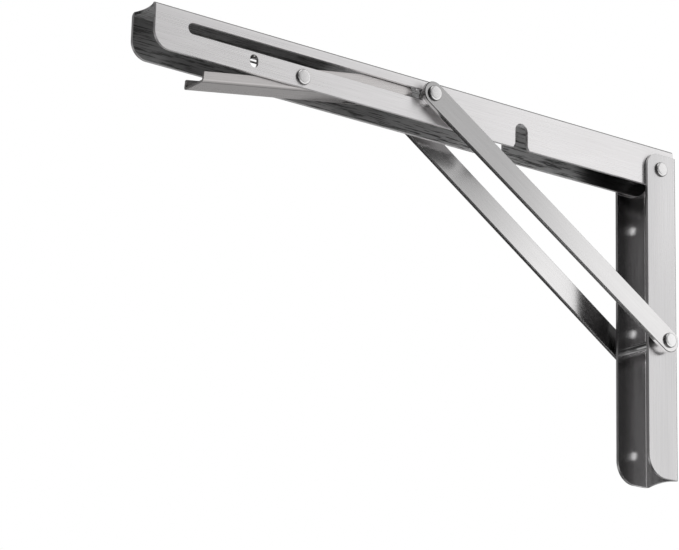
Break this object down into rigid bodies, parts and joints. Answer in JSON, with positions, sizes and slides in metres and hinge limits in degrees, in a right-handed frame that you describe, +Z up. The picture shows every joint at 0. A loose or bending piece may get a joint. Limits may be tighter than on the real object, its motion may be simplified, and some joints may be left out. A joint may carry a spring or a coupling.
{
  "type": "folding shelf bracket",
  "caption": "Folding shelf bracket of folded steel channel: a hinged arm, flat braces that slide in its slots, and a sprung release lever that locks it open.",
  "frame": {"origin": "back face of the wall plate, on its centre line, level with the hinge axle", "axes": "+X out from the wall along the open arm, +Z up, +Y to the right of someone who faces the wall"},
  "size_m": [0.4, 0.048, 0.2185],
  "materials": {
    "plate_steel": "brushed lengthwise, stainless",
    "arm_steel": "brushed lengthwise, stainless",
    "brace_steel": "brushed lengthwise, stainless",
    "lever_steel": "brushed lengthwise, stainless",
    "rivet_steel": "satin, riveted over",
    "spring_steel": "drawn spring wire",
    "washer_nylon": "natural nylon"
  },
  "bodies": {
    "wall": {"wall_plate": "plate_steel", "hinge_axle": "rivet_steel", "foot_axle": "rivet_steel", "hinge_washer_left": "washer_nylon", "hinge_washer_right": "washer_nylon", "foot_washer_left": "rivet_steel", "foot_washer_right": "rivet_steel"},
    "arm": {"shelf_arm": "arm_steel", "lever_pin": "rivet_steel", "lever_washer_left": "washer_nylon", "lever_washer_right": "washer_nylon", "spring_sleeve": "washer_nylon", "lever_spring": "spring_steel"},
    "braces": {"brace_left": "brace_steel", "brace_right": "brace_steel", "brace_rivet_left": "rivet_steel", "brace_rivet_right": "rivet_steel"},
    "slider": {"slide_stud_left": "rivet_steel", "slide_stud_right": "rivet_steel", "slide_spacer_left": "rivet_steel", "slide_spacer_right": "rivet_steel"},
    "lever": {"release_lever": "lever_steel"}
  },
  "joints": [
    {"name": "arm_fold", "type": "hinge", "parent": "wall", "child": "arm", "pos_m": [0.0137, 0, 0], "axis": [0, 1, 0], "range_deg": [0, 90]},
    {"name": "brace_swing", "type": "hinge", "parent": "wall", "child": "braces", "pos_m": [0.0137, 0, -0.1153], "axis": [0, 1, 0], "range_deg": [0, 121.12]},
    {"name": "slide_travel", "type": "slide", "parent": "arm", "child": "slider", "axis": [1, 0, 0], "range_m": [0, 0.15044]},
    {"name": "lever_press", "type": "hinge", "parent": "arm", "child": "lever", "pos_m": [0.2964, 0, -0.0052], "axis": [0, -1, 0], "range_deg": [0, 9.4], "stiffness_Nm_per_rad": 0.6, "springref_deg": -28.65, "deforming": ["lever_spring"]}
  ],
  "couplings": [
    {"joint": "brace_swing", "follows": "arm_fold", "ratio": 1.3456},
    {"joint": "slide_travel", "follows": "arm_fold", "m_per_rad": 0.095711}
  ]
}
